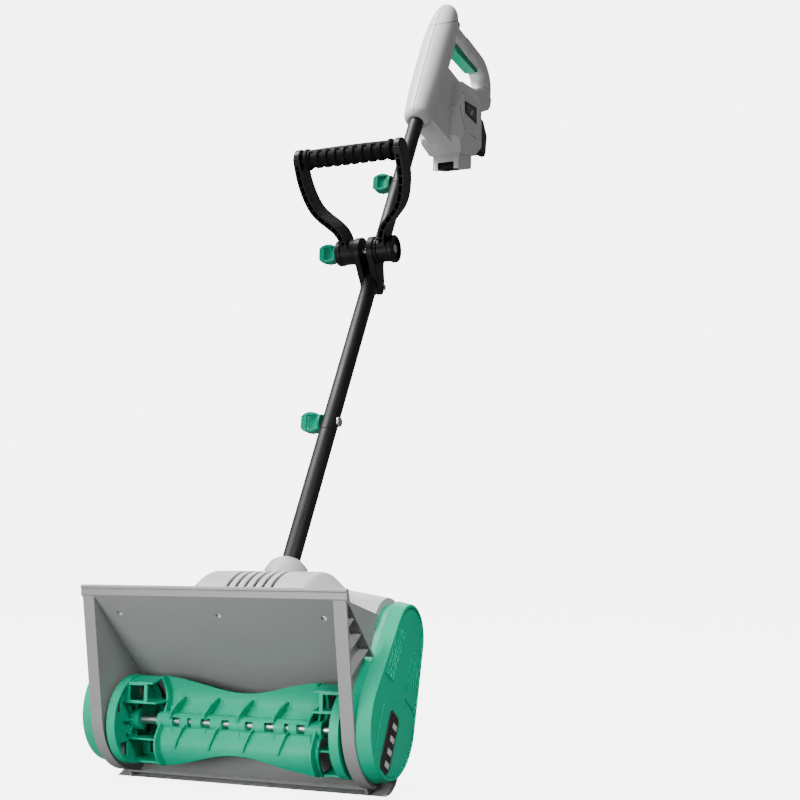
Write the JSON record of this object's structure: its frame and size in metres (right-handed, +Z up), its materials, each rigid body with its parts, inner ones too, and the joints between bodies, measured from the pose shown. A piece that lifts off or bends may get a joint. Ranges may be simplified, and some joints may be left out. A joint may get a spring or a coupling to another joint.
{
  "type": "cordless snow shovel",
  "caption": "Cordless snow shovel: a scoop with a powered paddle rotor, side belt drive, jointed pole, clamp-on assist handle and a D-grip power handle with a battery dock.",
  "frame": {"origin": "middle of the scraper's flat wear face, on the ground", "axes": "+X towards the belt cover, across the scoop; +Y from the scoop's mouth back towards the operator; +Z up"},
  "size_m": [0.338, 0.8525, 1.0777],
  "materials": {
    "scoop_grey": "fine moulded texture, satin",
    "cover_green": "satin moulded green",
    "knob_green": "satin moulded green",
    "edge_black": "matt black wear strip",
    "housing_grey": "light grey satin plastic",
    "handle_grey": "light grey satin plastic",
    "dark_plastic": "matt black moulded plastic",
    "pole_black": "semi-gloss black powder coat",
    "soft_black": "matt soft rubber",
    "steel": "zinc-plated steel",
    "brass": "satin brass",
    "aluminium": "plain aluminium",
    "can_steel": "dark plated steel",
    "board_green": "coated circuit board",
    "cable_black": "matt cable jacket"
  },
  "bodies": {
    "frame": {"scoop_housing": "scoop_grey", "scraper_blade": "scoop_grey", "belt_case": "cover_green", "left_case": "cover_green", "belt_cover": "cover_green", "left_cover": "cover_green", "cover_screws": "steel", "motor_housing": "housing_grey", "rear_cover": "housing_grey", "bearing_outer_races": "steel", "drive_belt": "soft_black", "motor_can": "can_steel", "motor_end_bell": "dark_plastic", "motor_mount": "steel", "mount_screws": "steel", "lower_tube": "pole_black", "middle_tube": "pole_black", "upper_tube": "pole_black", "lower_spigot": "aluminium", "upper_spigot": "aluminium", "lower_joint_bolt": "steel", "upper_joint_bolt": "steel", "power_cable": "cable_black", "tip_cap": "handle_grey", "handle_shell_left": "handle_grey", "handle_shell_right": "handle_grey", "shell_screws": "steel", "soft_grip": "soft_black", "trigger_pin": "steel", "trigger_spring": "steel", "trigger_switch": "dark_plastic", "control_board": "board_green", "battery_dock": "dark_plastic", "dock_terminals": "brass", "boss_insert": "dark_plastic", "label_frame": "dark_plastic", "cover_label": "dark_plastic"},
    "rotor": {"rotor_paddle": "cover_green", "rotor_shaft": "steel", "shaft_retainers": "steel", "bearing_inner_races": "steel", "rotor_pulley": "dark_plastic"},
    "motor_rotor": {"motor_shaft": "steel", "motor_pulley": "steel", "cooling_fan": "dark_plastic"},
    "clamp": {"clamp_left": "dark_plastic", "clamp_right": "dark_plastic", "clamp_screw": "steel", "clamp_washers": "dark_plastic", "pivot_spacer": "steel"},
    "assist_handle": {"assist_frame": "dark_plastic", "grip_sleeve": "soft_black", "handle_washers": "dark_plastic", "pivot_bolt": "steel"},
    "pivot_knob_body": {"pivot_knob": "knob_green"},
    "lower_knob_body": {"lower_joint_knob": "knob_green"},
    "upper_knob_body": {"upper_joint_knob": "knob_green"},
    "trigger_body": {"trigger": "cover_green"},
    "lock_button_body": {"lock_button": "cover_green"}
  },
  "joints": [
    {"name": "rotor_spin", "type": "hinge", "parent": "frame", "child": "rotor", "pos_m": [0, -0.0145, 0.064], "axis": [1, 0, 0], "continuous": true},
    {"name": "motor_spin", "type": "hinge", "parent": "frame", "child": "motor_rotor", "pos_m": [0, 0.0437, 0.1526], "axis": [1, 0, 0], "continuous": true},
    {"name": "clamp_slide", "type": "slide", "parent": "frame", "child": "clamp", "axis": [0, 0.5161, 0.8565], "range_m": [-0.18, 0.1]},
    {"name": "assist_tilt", "type": "hinge", "parent": "clamp", "child": "assist_handle", "pos_m": [0, 0.30156, 0.63146], "axis": [1, 0, 0], "range_deg": [-50, 70]},
    {"name": "pivot_knob_turn", "type": "hinge", "parent": "assist_handle", "child": "pivot_knob_body", "pos_m": [0, 0.30156, 0.63146], "axis": [1, 0, 0], "continuous": true},
    {"name": "lower_knob_turn", "type": "hinge", "parent": "frame", "child": "lower_knob_body", "pos_m": [0, 0.19437, 0.39834], "axis": [1, 0, 0], "continuous": true},
    {"name": "upper_knob_turn", "type": "hinge", "parent": "frame", "child": "upper_knob_body", "pos_m": [0, 0.40648, 0.75037], "axis": [1, 0, 0], "continuous": true},
    {"name": "trigger_pull", "type": "hinge", "parent": "frame", "child": "trigger_body", "pos_m": [0, 0.701, 1.0125], "axis": [-1, 0, 0], "range_deg": [0, 4], "stiffness_Nm_per_rad": 0.6, "springref_deg": -11.46},
    {"name": "lock_press", "type": "slide", "parent": "frame", "child": "lock_button_body", "axis": [0, 0, -1], "range_m": [0, 0.0025], "stiffness_N_per_m": 300, "springref_m": -0.0015}
  ],
  "couplings": [
    {"joint": "motor_spin", "follows": "rotor_spin", "ratio": 3.4737}
  ]
}
